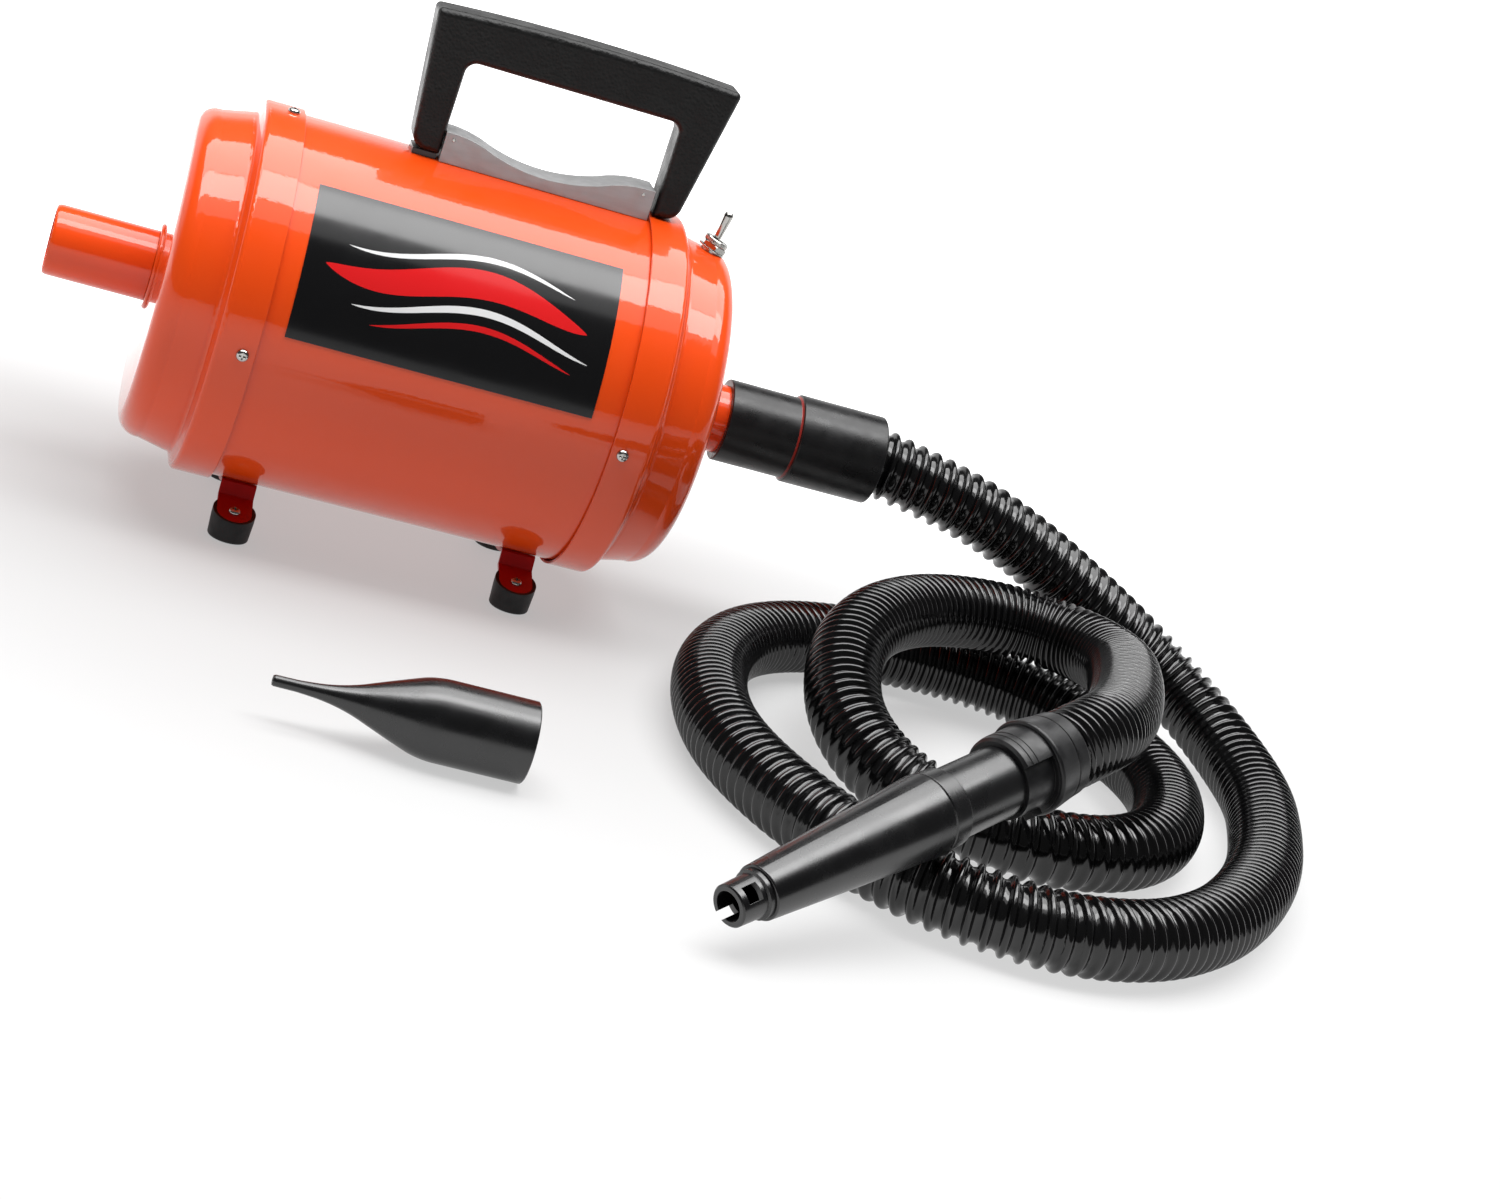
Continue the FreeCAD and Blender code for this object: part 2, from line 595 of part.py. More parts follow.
def armature_windings():
    left = lathe([(-38, 9), ((-37, 17), (-32, 22)), (-25.1, 23.5), (-25.1, 9)])
    right = lathe([(25.1, 9), (25.1, 23.5), (31, 22), ((35, 17), (36, 9))])
    return [left, right]


def commutator():
    drum = ring(38, 53, 14.0, SHAFT_R)
    for i in range(24):
        slot = block(37, 52, 12.8, 15, AXIS_Z - 0.25, AXIS_Z + 0.25)
        slot.rotate(CENTRE, X_AXIS, i * 15)
        drum = drum.cut(slot)
    return drum


def insulating_spacers():
    """Sleeves that fill the shaft between core, windings and commutator."""
    return [ring(-38, -25.1, 8.9, SHAFT_R), ring(25.1, 37.9, 8.9, SHAFT_R)]


def carbon_brush():
    return block(42, 48, 14.3, 32, AXIS_Z - 4, AXIS_Z + 4)


def brush_holder():
    body = block(39.6, 50.4, 17, 42, AXIS_Z - 6.4, AXIS_Z + 6.4)
    body = body.cut(block(41.9, 48.1, 16, 40.5, AXIS_Z - 4.1, AXIS_Z + 4.1))
    return body


def brush_spring():
    """Spring behind the brush, drawn as the closed sleeve of its outer shape."""
    return ring(32.1, 40.4, 2.9, 2.0, CENTRE + Vector(45, 0, 0), Y_AXIS)


def commutator_end_bridge():
    """Bar across the motor's commutator end, with the bearing boss and arms to the bolts."""
    bar = fused([block(57.5, 61.5, -56, 56, AXIS_Z - 10, AXIS_Z + 10), ring(56, 66, 16)])
    bar = bar.cut(ring(55, 67, 11.05))
    for point in motor_bolt_points():
        bar = bar.cut(ring(56, 67, 2.1, 0, point))
    for side in (1, -1):
        arm = block(40, 57.6, 42.1, 46, AXIS_Z - 6.4, AXIS_Z + 6.4)
        arm = arm if side > 0 else mirrored_y(arm)
        bar = bar.fuse(arm)
    return bar.removeSplitter()


def motor_bolt_points():
    return [CENTRE + Vector(0, y, 0) for y in (-50, 50)]


def motor_bolts():
    bolts = []
    for point in motor_bolt_points():
        rod = ring(-53.9, 63, 2.0, 0, point)
        bolts.append(fused([rod, ring(61.6, 65, 4.2, 0, point), ring(-53.9, -51, 4.2, 0, point)]))
    return bolts


def cooling_fan():
    parts = [ring(68, 76, 8), ring(68, 69.2, 38)]
    for i in range(9):
        blade = block(69, 76, 7, 37, AXIS_Z - 0.7, AXIS_Z + 0.7)
        blade.rotate(CENTRE, X_AXIS, i * 40)
        parts.append(blade)
    return fused(parts).cut(ring(67, 77, SHAFT_R))


def mounting_ring(x0):
    """Rubber ring that holds the fan housing in the partition."""
    fit, groove, rim = FAN_R + 0.05, FAN_R + 4, FAN_R + 7
    return lathe([(x0, fit), (x0, rim), (x0 + 3.9, rim), (x0 + 3.9, groove),
                  (x0 + 6.1, groove), (x0 + 6.1, rim), (x0 + 10, rim), (x0 + 10, fit)])


def partition_ring():
    """Bulkhead that parts the intake side from the pressure side: flanged disc spot-welded in the tube."""
    wall = TUBE_R - SHEET - 0.1
    return fused([ring(-76, -74, wall, FAN_R + 4.05), ring(-76, -64, wall, wall - 1.6)])


def rear_cradle():
    """Cross frame that carries the motor's commutator end on two rubber bushes."""
    wall = TUBE_R - SHEET - 0.1
    frame = fused([ring(86, 88, wall, 84), ring(86, 98, wall, wall - 1.6),
                   block(86, 88, -95, -43, AXIS_Z - 9, AXIS_Z + 9),
                   block(86, 88, 43, 95, AXIS_Z - 9, AXIS_Z + 9)])
    for point in motor_bolt_points():
        frame = frame.cut(ring(85, 89, 3.1, 0, point))
    return frame


def cradle_bushes():
    return [fused([ring(65.05, 85.9, 6.5, 0, point), ring(85.8, 90, 3.0, 0, point)])
            for point in motor_bolt_points()]


def acoustic_liner():
    liner = ring(-62, 76, TUBE_R - SHEET - 0.4, 93.5)
    return liner.cut(Part.makeCylinder(6, 20, Vector(HANDLE_SCREW_X[0], 0, AXIS_Z + 90), Z_AXIS))


def intake_filter():
    """Foam disc that fills the intake cap's drum."""
    return ring(-146, -128, 91.0)


def filter_screen():
    """Perforated disc behind the foam."""
    disc = ring(-127.6, -126.4, 93.0)
    for row, count in ((18, 6), (36, 12), (54, 18), (72, 24)):
        for i in range(count):
            angle = 2 * pi * i / count
            at = CENTRE + Vector(0, row * cos(angle), row * sin(angle))
            disc = disc.cut(ring(-128, -126, 4.6, 0, at))
    return disc


# ---------------------------------------------------------------- round tube along a route
def rounded_route(points):
    """Wire of straight runs joined by tangent arcs, each as large as its two runs allow."""
    edges, radii, length = [], [], 0.0
    here = points[0]
    for before, corner, after in zip(points, points[1:], points[2:]):
        inward, onward = corner - before, after - corner
        trim = 0.45 * min(inward.Length, onward.Length)
        turn = inward.getAngle(onward)
        radius = trim / tan(turn / 2)
        u, v = Vector(inward).normalize(), Vector(onward).normalize()
        start, end = corner - u * trim, corner + v * trim
        bisector = (v - u).normalize()
        middle = corner + bisector * (radius / cos(turn / 2) - radius)
        edges.append(Part.LineSegment(here, start).toShape())
        edges.append(Part.Arc(start, middle, end).toShape())
        length += (start - here).Length + radius * turn
        radii.append(radius)
        here = end
    edges.append(Part.LineSegment(here, points[-1]).toShape())
    length += (points[-1] - here).Length
    return Part.Wire(edges), radii, length


def tube_along(points, outer, bore):
    """Tube with a round bore along a route, with its volume checked against section times length."""
    wire, radii, length = rounded_route(points)
    start = Vector(points[1] - points[0]).normalize()
    sweeps = []
    for radius in (outer, bore):
        if radius:
            circle = Part.Wire([Part.Circle(points[0], start, radius).toShape()])
            sweeps.append(wire.makePipeShell([circle], True, False))
    tube = sweeps[0].cut(sweeps[1]) if len(sweeps) > 1 else sweeps[0]
    section = pi * (outer ** 2 - bore ** 2)
    print("tube: length %.0f, radii %s" % (length, [round(r) for r in radii]))
    print("tube: volume over section times length %.4f" % (tube.Volume / (section * length)))
    return tube


# ---------------------------------------------------------------- hose and nozzles
CUFF_START, CUFF_STEP, CUFF_END = 178.6, 222.0, 275.0
HOSE_ROUTE = [Vector(*p) for p in (
    (275, 0, 126), (311, -5, 121.2), (350.2, -8, 112.9), (390.1, -8, 97.9), (431.3, -6, 78),
    (473.2, -4, 56), (505.6, -26.7, 38.5), (525.5, -65.1, 26), (528, -126, 21.5), (512, -185, 21.5),
    (492, -240, 21.5), (464, -291, 21.5), (428, -339, 21.5), (381, -377, 21.5), (325, -393, 21.5),
    (269, -378, 21.5), (225, -341, 21.5), (194, -292, 21.5), (176, -236, 21.5), (176, -176, 21.5),
    (190, -116, 21.5), (219, -66, 21.5), (266, -32, 21.5), (316, -22, 21.5), (367, -24, 21.5),
    (412, -44, 21.5), (445, -89, 21.5), (458, -146, 21.5), (446, -202, 21.5), (419, -249, 21.5),
    (376, -279, 21.5), (321, -284, 21.5), (271, -259, 24.5), (243, -218, 37.5), (245, -166, 54),
    (266, -120, 64.5), (303, -76, 66), (345, -53, 66.5), (384, -49.5, 66.6), (414, -71, 69.2),
    (423.5, -111, 74), (411, -156, 79.5), (396.7, -196.9, 84.2), (381.5, -235.5, 88.7),
    (363.9, -271.8, 92.9), (341.4, -307.6, 96.8), (318.2, -324.8, 88.5))]
HOSE_END = HOSE_ROUTE[-1]
TOOL_AXIS = Vector(HOSE_ROUTE[-1] - HOSE_ROUTE[-2]).normalize()
ADAPTOR_START, ADAPTOR_END = 28.0, 106.0
CUFF_BAND, CUFF_LIP = 24.6, 44.9      # ends of the tool cuff's thick band and of its half collar
CONE_START, CONE_SEAM, CONE_END, TIP_END = 85.5, 98.0, 212.0, 230.5
PARTING_TURN = 47.0        # turn of the tool end's parting plane about its axis, degrees


def tool_lathe(steps):
    return lathe(steps, HOSE_END, TOOL_AXIS)


def tool_ring(start, end, outer, inner=0.0):
    return ring(start, end, outer, inner, HOSE_END, TOOL_AXIS)


def tool_sides():
    """Two directions square to the tool axis: along the parting plane to the front, and up from it."""
    level = TOOL_AXIS.cross(Z_AXIS).normalize() * -1
    up = TOOL_AXIS.cross(level).normalize()
    up = up if up.z > 0 else up * -1
    turn = radians(PARTING_TURN)
    return level * cos(turn) + up * sin(turn), up * cos(turn) - level * sin(turn)


def tool_block(start, end, across, low, high):
    """Straight-sided block: along the axis, half as wide as across each way, and low to high upwards."""
    front, up = tool_sides()
    corner = HOSE_END + TOOL_AXIS * start - front * across + up * low
    outline = [corner, corner + front * 2 * across, corner + front * 2 * across + up * (high - low),
               corner + up * (high - low)]
    return Part.Face(Part.makePolygon(outline + outline[:1])).extrude(TOOL_AXIS * (end - start))


def outlet_cuff():
    """Two-step rubber cuff that pushes over the outlet port."""
    outer = [(CUFF_START, 0), (CUFF_START, 23.4), ((CUFF_START + 0.3, 24.0), (CUFF_START + 1, 24.2)),
             (CUFF_STEP - 1, 24.2), (CUFF_STEP, 25.2), ((CUFF_STEP + 0.3, 25.9), (CUFF_STEP + 1, 26.2)),
             (CUFF_END - 1.2, 26.2), ((CUFF_END - 0.3, 25.8), (CUFF_END, 25.0)), (CUFF_END, 0)]
    cuff = lathe(outer).cut(ring(CUFF_START - 1, PORT_TIP + 1, PORT_R + PUSH_FIT))
    return cuff.cut(ring(PORT_TIP, CUFF_END + 1, HOSE_BORE - 0.4))


def tool_end_cuff():
    """Rubber cuff on the hose's free end: widening band, then a collar whose lower half is cut back."""
    band = [(0, 0), (0, 21.3), ((0.5, 22.0), (1.5, 22.3)), (8.7, 23.0), (9.1, 22.5), (9.6, 22.5),
            (10, 23.2), (22.5, 25.0), ((24.0, 24.7), (CUFF_BAND, 23.8)), (CUFF_BAND, 0)]
    collar = [(CUFF_BAND - 1, 0), (CUFF_BAND - 1, 22.8), (35.6, 22.8), (35.9, 22.4), (36.7, 22.4),
              (37, 22.8), (39.6, 22.8), (39.9, 22.4), (40.7, 22.4), (41, 22.7), (43.4, 22.3),
              (CUFF_LIP, 20.9), (CUFF_LIP, 0)]
    lower = tool_ring(CUFF_BAND + 0.6, CUFF_LIP + 1, 26, 20.3)
    lower = lower.common(tool_block(CUFF_BAND, CUFF_LIP + 2, 30, -30, 0))
    latch = tool_block(30, 37, 3, -23.4, -18.9)
    cuff = fused([tool_lathe(band), tool_lathe(collar).cut(lower), latch])
    cuff = cuff.cut(tool_ring(ADAPTOR_START - 0.1, 56, TOOL_R + 0.05))
    return cuff.cut(tool_ring(-1, 40, HOSE_BORE - 3.4))


def adaptor_tube():
    """Rigid tube in the end cuff that every nozzle pushes onto."""
    return tool_ring(ADAPTOR_START, ADAPTOR_END, TOOL_R, TOOL_R - 2)


def cone_nozzle():
    """Tapered nozzle: socket for the adaptor, seam groove round the big end, long cone."""
    outer = [(CONE_START, 0), (CONE_START, 19.7), (CONE_START + 0.6, 20.2), (CONE_SEAM - 1, 20.9),
             (CONE_SEAM - 0.4, 20.3), (CONE_SEAM + 0.2, 20.3), (CONE_SEAM + 0.5, 21.2),
             (CONE_END - 1.2, 13.9), ((CONE_END - 0.3, 13.6), (CONE_END, 13.0)), (CONE_END, 0)]
    nozzle = tool_lathe(outer).cut(tool_ring(CONE_START - 1, CONE_START + 21, TOOL_R + PUSH_FIT))
    inner = [(CONE_START + 20.9, 0), (CONE_START + 20.9, 17.4), (CONE_END + 1, 10.0), (CONE_END + 1, 0)]
    return nozzle.cut(tool_lathe(inner))


def nozzle_tip():
    """Bayonet end pressed into the cone: flange and crown, with a window in front and a slot behind."""
    outer = [(CONE_END - 12, 0), (CONE_END - 12, 9.9), (CONE_END + 0.05, 9.9), (CONE_END + 0.05, 12.4),
             (CONE_END + 2.8, 12.4), (CONE_END + 3.4, 11.0), (TIP_END - 0.8, 10.6), (TIP_END, 9.9),
             (TIP_END, 0)]
    tip = tool_lathe(outer).cut(tool_ring(CONE_END - 13, TIP_END + 1, 7.6))
    front, up = tool_sides()
    corner = HOSE_END + TOOL_AXIS * (TIP_END - 12.5) - up * 3.4
    window = [corner, corner + TOOL_AXIS * 8.5, corner + TOOL_AXIS * 8.5 + up * 8.4, corner + up * 8.4]
    tip = tip.cut(Part.Face(Part.makePolygon(window + window[:1])).extrude(front * 14))
    corner = HOSE_END + TOOL_AXIS * (TIP_END - 9) - up * 4.2
    slot = [corner, corner + TOOL_AXIS * 10, corner + TOOL_AXIS * 10 + up * 4.6, corner + up * 4.6]
    return tip.cut(Part.Face(Part.makePolygon(slot + slot[:1])).extrude(front * -14))


SPARE_LENGTH, SPARE_R = 130.4, 21.0
SPARE_START = Vector(62.4, -305.4, SPARE_R + 0.02)
SPARE_AXIS = Vector(-1, 0.02, 0).normalize()


def spare_nozzle():
    """Blower nozzle that lies loose: round socket, waisted flare and a long thin tip."""
    outer = [(0, 0), (0, SPARE_R - 0.6), (0.6, SPARE_R), (43, SPARE_R),
             ((51, 20.55), (58.5, 18.95)), ((72, 14.1), (86, 8.8)), ((97, 5.6), (111, 3.5)), (118, 3.0),
             (SPARE_LENGTH - 1, 2.9), (SPARE_LENGTH, 2.4), (SPARE_LENGTH, 0)]
    nozzle = lathe(outer, SPARE_START, SPARE_AXIS)
    nozzle = nozzle.cut(ring(-1, 30, TOOL_R + PUSH_FIT, 0, SPARE_START, SPARE_AXIS))
    inner = [(29.9, 0), (29.9, TOOL_R - 0.6), (43, TOOL_R - 0.6), ((50, 17.3), (56.5, 16.2)),
             (84, 6.6), ((95, 3.7), (109, 1.7)), (SPARE_LENGTH + 1, 1.5), (SPARE_LENGTH + 1, 0)]
    return nozzle.cut(lathe(inner, SPARE_START, SPARE_AXIS))


# ---------------------------------------------------------------- write every node
def build():
    outlet_cap, port, collar = end_cap(True), port_tube(), port_collar()
    nodes = {
        "tube_shell": tube_shell(),
        "outlet_end_cap": outlet_cap,
        "intake_end_cap": mirrored_x(end_cap(False)),
        "outlet_port_tube": port,
        "intake_port_tube": mirrored_x(port),
        "port_collars": [collar, mirrored_x(collar)],
        "cap_screws": cap_screws(),
        "label_plate": label_plate(),
        "handle_grip": handle_grip(),
        "handle_bracket": handle_bracket(),
        "handle_bracket_pins": bracket_pins(),
        "handle_screws": handle_screws(),
        "handle_spacer": handle_spacer(),
        "switch_washer": switch_ring(0.4, 1.2, 8.6, 5.95),
        "switch_bushing": switch_bushing(),
        "switch_hex_nut": switch_hex_nut(),
        "switch_dress_nut": switch_dress_nut(),
        "switch_lever": switch_lever(),
        "switch_body": switch_body(),
        "switch_terminals": switch_terminals(),
        "cord_grommet": cord_grommet(),
        "intake_foot_strap": foot_strap(-FOOT_X),
        "outlet_foot_strap": foot_strap(FOOT_X),
        "strap_rivets": strap_rivets(),
        "foot_screws": foot_screws(),
        "fan_housing": fan_housing(),
        "stage_diffuser": diffuser(),
        "impellers": [impeller(-100.5), impeller(-82.5)],
        "shaft_nut": shaft_nut(),
        "motor_shaft": motor_shaft(),
        "drive_end_plate": drive_end_plate(),
        "motor_bearings": [bearing(-53), bearing(57)],
        "field_stack": field_stack(),
        "field_coils": coil_sectors(-37, 37, BORE_R + 0.8, 34.6, 37),
        "armature_core": armature_core(),
        "armature_windings": armature_windings(),
        "armature_spacers": insulating_spacers(),
        "commutator": commutator(),
        "brush_holders": [brush_holder(), mirrored_y(brush_holder())],
        "brush_springs": [brush_spring(), mirrored_y(brush_spring())],
        "front_carbon_brush": mirrored_y(carbon_brush()),
        "rear_carbon_brush": carbon_brush(),
        "commutator_end_bridge": commutator_end_bridge(),
        "motor_bolts": motor_bolts(),
        "cooling_fan": cooling_fan(),
        "motor_mounting_ring": mounting_ring(-79.95),
        "partition_ring": partition_ring(),
        "rear_cradle": rear_cradle(),
        "cradle_bushes": cradle_bushes(),
        "acoustic_liner": acoustic_liner(),
        "intake_filter": intake_filter(),
        "filter_screen": filter_screen(),
        "hose_tube": tube_along(HOSE_ROUTE, HOSE_R, HOSE_BORE),
        "outlet_cuff": outlet_cuff(),
        "tool_end_cuff": tool_end_cuff(),
        "adaptor_tube": adaptor_tube(),
        "cone_nozzle": cone_nozzle(),
        "nozzle_tip": nozzle_tip(),
        "spare_nozzle": spare_nozzle(),
    }
    nodes["rubber_feet"] = [rubber_foot(x, side) for x in (-FOOT_X, FOOT_X) for side in (-1, 1)]
    os.makedirs("parts", exist_ok=True)
    for name, shape in nodes.items():
        whole = Part.Compound(shape) if isinstance(shape, list) else shape
        whole.exportStep("parts/%s.step" % name)
        print(name, len(whole.Solids), whole.isValid(), round(whole.Volume / 1000, 1))


build()
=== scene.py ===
import json
from math import cos, pi, radians, sin

import bpy
from mathutils import Matrix, Vector


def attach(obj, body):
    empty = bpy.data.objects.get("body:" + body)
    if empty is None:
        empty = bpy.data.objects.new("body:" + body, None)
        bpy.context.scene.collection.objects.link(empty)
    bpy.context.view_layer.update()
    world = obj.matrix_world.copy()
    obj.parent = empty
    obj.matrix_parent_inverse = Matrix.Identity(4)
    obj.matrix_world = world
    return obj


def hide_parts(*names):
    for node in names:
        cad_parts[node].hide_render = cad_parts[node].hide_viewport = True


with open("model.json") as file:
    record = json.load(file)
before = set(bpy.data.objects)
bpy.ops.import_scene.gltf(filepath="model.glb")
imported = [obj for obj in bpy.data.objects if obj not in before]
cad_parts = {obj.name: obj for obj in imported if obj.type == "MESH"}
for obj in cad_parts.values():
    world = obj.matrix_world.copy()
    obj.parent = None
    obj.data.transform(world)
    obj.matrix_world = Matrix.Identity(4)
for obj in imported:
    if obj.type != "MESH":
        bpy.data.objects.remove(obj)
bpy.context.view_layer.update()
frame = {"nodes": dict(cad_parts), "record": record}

NODES = frame["nodes"]
MM = 0.001
AXIS_Z = 0.126


# ---------------------------------------------------------------- camera
CAMERA_AT = Vector((-0.2556, -1.7235, 0.5767))
CAMERA_PAN, CAMERA_TILT, CAMERA_ROLL = 15.784, -17.17, 19.052
CAMERA_LENS, CAMERA_SENSOR = 75.28, 36


def make_camera():
    pan, tilt, roll = radians(CAMERA_PAN), radians(CAMERA_TILT), radians(CAMERA_ROLL)
    ahead = Vector((sin(pan) * cos(tilt), cos(pan) * cos(tilt), sin(tilt)))
    level_right = ahead.cross(Vector((0, 0, 1))).normalized()
    level_up = level_right.cross(ahead)
    right = level_right * cos(roll) + level_up * sin(roll)
    up = level_up * cos(roll) - level_right * sin(roll)
    data = bpy.data.cameras.new("camera")
    data.sensor_width = CAMERA_SENSOR
    data.lens = CAMERA_LENS
    data.clip_start, data.clip_end = 0.05, 100
    camera = bpy.data.objects.new("camera", data)
    camera.matrix_world = Matrix((
        (right.x, up.x, -ahead.x, CAMERA_AT.x),
        (right.y, up.y, -ahead.y, CAMERA_AT.y),
        (right.z, up.z, -ahead.z, CAMERA_AT.z),
        (0, 0, 0, 1)))
    bpy.context.scene.collection.objects.link(camera)
    bpy.context.scene.camera = camera


make_camera()


# ---------------------------------------------------------------- mesh helpers
def new_object(name, verts, faces, material=None, smooth=True):
    mesh = bpy.data.meshes.new(name)
    mesh.from_pydata([tuple(v) for v in verts], [], faces)
    mesh.update()
    if smooth:
        mesh.polygons.foreach_set("use_smooth", [True] * len(mesh.polygons))
    obj = bpy.data.objects.new(name, mesh)
    bpy.context.scene.collection.objects.link(obj)
    if material:
        mesh.materials.append(material)
    return obj


def grid_faces(rows, around):
    """Quads between rings of points that follow each other."""
    faces = []
    for i in range(rows - 1):
        low, high = i * around, (i + 1) * around
        for j in range(around):
            k = (j + 1) % around
            faces.append((low + j, low + k, high + k, high + j))
    return faces


# ---------------------------------------------------------------- shader helpers
class Shader:
    """Small builder for one procedural material. Coordinates are the object's own, in metres."""

    def __init__(self, name, color, roughness=0.5, metallic=0.0, **sockets):
        self.material = bpy.data.materials.new(name)
        self.material.use_nodes = True
        self.tree = self.material.node_tree
        self.bsdf = self.tree.nodes["Principled BSDF"]
        self.bsdf.inputs["Base Color"].default_value = (*color, 1)
        self.bsdf.inputs["Roughness"].default_value = roughness
        self.bsdf.inputs["Metallic"].default_value = metallic
        for key, value in sockets.items():
            self.bsdf.inputs[key.replace("_", " ")].default_value = value
        self.material.diffuse_color = (*color, 1)
        self.place = self.add("ShaderNodeTexCoord").outputs["Object"]
        self.normal = None

    def add(self, kind, **settings):
        node = self.tree.nodes.new(kind)
        for key, value in settings.items():
            setattr(node, key, value)
        return node

    def feed(self, socket, value):
        if isinstance(value, bpy.types.NodeSocket):
            self.tree.links.new(value, socket)
        elif isinstance(value, (tuple, list)) and len(value) == 3 and socket.type == "RGBA":
            socket.default_value = (*value, 1)
        else:
            socket.default_value = value

    def math(self, operation, a, b=0.0, c=0.0):
        node = self.add("ShaderNodeMath", operation=operation)
        for socket, value in zip(node.inputs, (a, b, c)):
            self.feed(socket, value)
        return node.outputs[0]

    def noise(self, scale, detail=3.0, stretch=None):
        where = self.place
        if stretch:
            where = self.scaled(stretch)
        node = self.add("ShaderNodeTexNoise")
        self.feed(node.inputs["Vector"], where)
        self.feed(node.inputs["Scale"], scale)
        self.feed(node.inputs["Detail"], detail)
        return node.outputs["Fac"]

    def cells(self, scale, feature="F1"):
        node = self.add("ShaderNodeTexVoronoi", feature=feature)
        self.feed(node.inputs["Vector"], self.place)
        self.feed(node.inputs["Scale"], scale)
        return node.outputs["Distance"]

    def scaled(self, factors):
        node = self.add("ShaderNodeMapping")
        self.feed(node.inputs["Vector"], self.place)
        node.inputs["Scale"].default_value = factors
        return node.outputs[0]

    def xyz(self):
        node = self.add("ShaderNodeSeparateXYZ")
        self.feed(node.inputs[0], self.place)
        return node.outputs

    def ramp(self, value, low, high, out_low=0.0, out_high=1.0):
        node = self.add("ShaderNodeMapRange", interpolation_type="SMOOTHSTEP")
        for socket, v in zip(node.inputs, (value, low, high, out_low, out_high)):
            self.feed(socket, v)
        return node.outputs[0]

    def mix(self, factor, a, b):
        node = self.add("ShaderNodeMix", data_type="RGBA")
        self.feed(node.inputs["Factor"], factor)
        self.feed(node.inputs[6], a)        # the colour sockets A and B have the numbers' names too
        self.feed(node.inputs[7], b)
        return node.outputs[2]

    def bump(self, height, distance, strength=1.0):
        node = self.add("ShaderNodeBump")
        self.feed(node.inputs["Height"], height)
        node.inputs["Distance"].default_value = distance
        node.inputs["Strength"].default_value = strength
        if self.normal is not None:
            self.feed(node.inputs["Normal"], self.normal)
        self.normal = node.outputs[0]

    def soft_edges(self, radius):
        node = self.add("ShaderNodeBevel", samples=6)
        node.inputs["Radius"].default_value = radius
        self.normal = node.outputs[0]

    def color(self, value):
        self.feed(self.bsdf.inputs["Base Color"], value)

    def rough(self, value):
        self.feed(self.bsdf.inputs["Roughness"], value)

    def done(self):
        if self.normal is not None:
            self.feed(self.bsdf.inputs["Normal"], self.normal)
        return self.material


# ---------------------------------------------------------------- materials
def orange_enamel():
    s = Shader("orange_enamel", (0.82, 0.068, 0.004), 0.40, Specular_IOR_Level=0.1,
               Coat_Weight=1.0, Coat_Roughness=0.035, Coat_IOR=1.5)
    s.color(s.mix(s.noise(9, 4), (0.80, 0.064, 0.0035), (0.85, 0.073, 0.0045)))
    s.rough(s.ramp(s.noise(60, 4), 0.3, 0.7, 0.34, 0.46))
    s.soft_edges(0.0006)
    s.bump(s.noise(420, 2), 0.00006, 0.5)
    s.bump(s.noise(38, 3), 0.0005, 0.12)
    material = s.done()
    s.feed(s.bsdf.inputs["Coat Normal"], s.normal)
    return material


def red_enamel():
    s = Shader("red_enamel", (0.42, 0.004, 0.005), 0.35, Specular_IOR_Level=0.15,
               Coat_Weight=0.35, Coat_Roughness=0.08)
    s.color(s.mix(s.noise(30, 4), (0.38, 0.003, 0.004), (0.48, 0.006, 0.007)))
    s.soft_edges(0.0004)
    s.bump(s.noise(500, 2), 0.00006, 0.5)
    return s.done()


def bright_metal(name="bright_metal", color=(0.62, 0.61, 0.58), roughness=0.10):
    s = Shader(name, color, roughness, 1.0)
    s.rough(s.ramp(s.noise(700, 4), 0.35, 0.7, roughness, roughness + 0.12))
    s.color(s.mix(s.noise(260, 4), color, tuple(0.72 * c for c in color)))
    s.soft_edges(0.00015)
    s.bump(s.noise(1500, 3), 0.00002, 0.5)
    return s.done()


def grip_plastic():
    s = Shader("grip_plastic", (0.005, 0.005, 0.005), 0.42, Specular_IOR_Level=0.3)
    s.rough(s.ramp(s.noise(90, 4), 0.3, 0.7, 0.36, 0.48))
    s.color(s.mix(s.noise(25, 3), (0.004, 0.004, 0.004), (0.007, 0.007, 0.007)))
    s.bump(s.cells(620, "SMOOTH_F1"), 0.00035, 0.7)
    s.bump(s.noise(1100, 3), 0.00012, 0.5)
    return s.done()


def grey_sheet():
    s = Shader("grey_sheet", (0.42, 0.42, 0.425), 0.38, 0.55)
    s.color(s.mix(s.noise(60, 5, stretch=(1, 1, 6)), (0.36, 0.36, 0.365), (0.47, 0.47, 0.475)))
    s.rough(s.ramp(s.noise(200, 4), 0.3, 0.7, 0.34, 0.48))
    s.soft_edges(0.0005)
    s.bump(s.noise(700, 3), 0.00006, 0.6)
    return s.done()


def black_rubber(name, roughness, grain=0.00005, tint=(0.003, 0.003, 0.0035)):
    s = Shader(name, tint, roughness, Specular_IOR_Level=0.5)
    s.color(s.mix(s.noise(45, 5), tint, tuple(1.7 * c for c in tint)))
    s.rough(s.ramp(s.noise(120, 5), 0.3, 0.7, roughness - 0.06, roughness + 0.1))
    s.soft_edges(0.0003)
    s.bump(s.noise(900, 3), grain, 0.8)
    return s.done()


CUFF_LINE_X, CUFF_LINE_HALF = 0.2213, 0.00055


